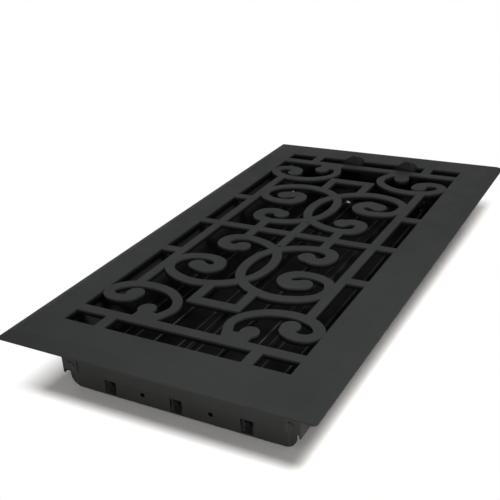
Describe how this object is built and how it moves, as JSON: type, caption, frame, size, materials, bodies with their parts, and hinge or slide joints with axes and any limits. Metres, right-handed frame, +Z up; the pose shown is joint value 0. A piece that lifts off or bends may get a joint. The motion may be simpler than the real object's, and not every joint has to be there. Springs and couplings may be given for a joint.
{
  "type": "floor register",
  "caption": "Flat rectangular floor register: pierced scrollwork face plate with rolled border over a shallow sheet damper box, long lever-worked louvre blades below",
  "frame": {"origin": "Centre of the footprint, on the surface that the two end walls' lower edges stand on.", "axes": "+Z up through the grille, +Y along the long side towards the knobs, +X across the blades."},
  "size_m": [0.191, 0.351, 0.05],
  "materials": {
    "plate": "satin black powder coat on cast iron",
    "box": "satin black paint on steel sheet",
    "blades": "satin black paint on steel sheet",
    "linkage": "thin black paint on steel strip",
    "steel": "plain drawn steel",
    "bright": "bright rivet heads",
    "knobs": "black moulded plastic"
  },
  "bodies": {
    "frame": {"face_plate": "plate", "end_wall_near": "box", "end_wall_far": "box", "side_wall_left": "box", "side_wall_right": "box", "lever_rivets": "bright"},
    "left_lever": {"lever_left": "linkage", "knob_left": "knobs", "lever_pin_left": "steel"},
    "right_lever": {"lever_right": "linkage", "knob_right": "knobs", "lever_pin_right": "steel"},
    "left_blade": {"blade_left": "blades", "rod_left": "steel", "crank_pin_left": "steel"},
    "centre_blade": {"blade_centre": "blades", "rod_centre": "steel", "crank_pin_centre": "steel"},
    "right_blade": {"blade_right": "blades", "rod_right": "steel", "crank_pin_right": "steel"},
    "left_link": {"link_bar_left": "linkage"},
    "right_link": {"link_bar_right": "linkage"}
  },
  "joints": [
    {"name": "left_lever_turn", "type": "hinge", "parent": "frame", "child": "left_lever", "pos_m": [-0.02187, 0.1472, 0.0064], "axis": [0, -1, 0], "range_deg": [0, 29]},
    {"name": "right_lever_turn", "type": "hinge", "parent": "frame", "child": "right_lever", "pos_m": [0.02187, 0.1472, 0.0064], "axis": [0, -1, 0], "range_deg": [0, 29]},
    {"name": "left_blade_turn", "type": "hinge", "parent": "frame", "child": "left_blade", "pos_m": [-0.04375, 0, 0.0064], "axis": [0, -1, 0], "range_deg": [0, 29]},
    {"name": "centre_blade_turn", "type": "hinge", "parent": "frame", "child": "centre_blade", "pos_m": [0, 0, 0.0064], "axis": [0, -1, 0], "range_deg": [0, 29]},
    {"name": "right_blade_turn", "type": "hinge", "parent": "frame", "child": "right_blade", "pos_m": [0.04375, 0, 0.0064], "axis": [0, -1, 0], "range_deg": [0, 29]},
    {"name": "left_link_turn", "type": "hinge", "parent": "left_lever", "child": "left_link", "pos_m": [-0.02013, 0.1459, 0.01523], "axis": [0, -1, 0], "range_deg": [-29, 0]},
    {"name": "right_link_turn", "type": "hinge", "parent": "right_lever", "child": "right_link", "pos_m": [0.02362, 0.1459, 0.01523], "axis": [0, -1, 0], "range_deg": [-29, 0]}
  ],
  "couplings": [
    {"joint": "left_blade_turn", "follows": "left_lever_turn", "ratio": 1},
    {"joint": "centre_blade_turn", "follows": "left_lever_turn", "ratio": 1},
    {"joint": "left_link_turn", "follows": "left_lever_turn", "ratio": -1},
    {"joint": "right_blade_turn", "follows": "right_lever_turn", "ratio": 1},
    {"joint": "right_link_turn", "follows": "right_lever_turn", "ratio": -1}
  ]
}
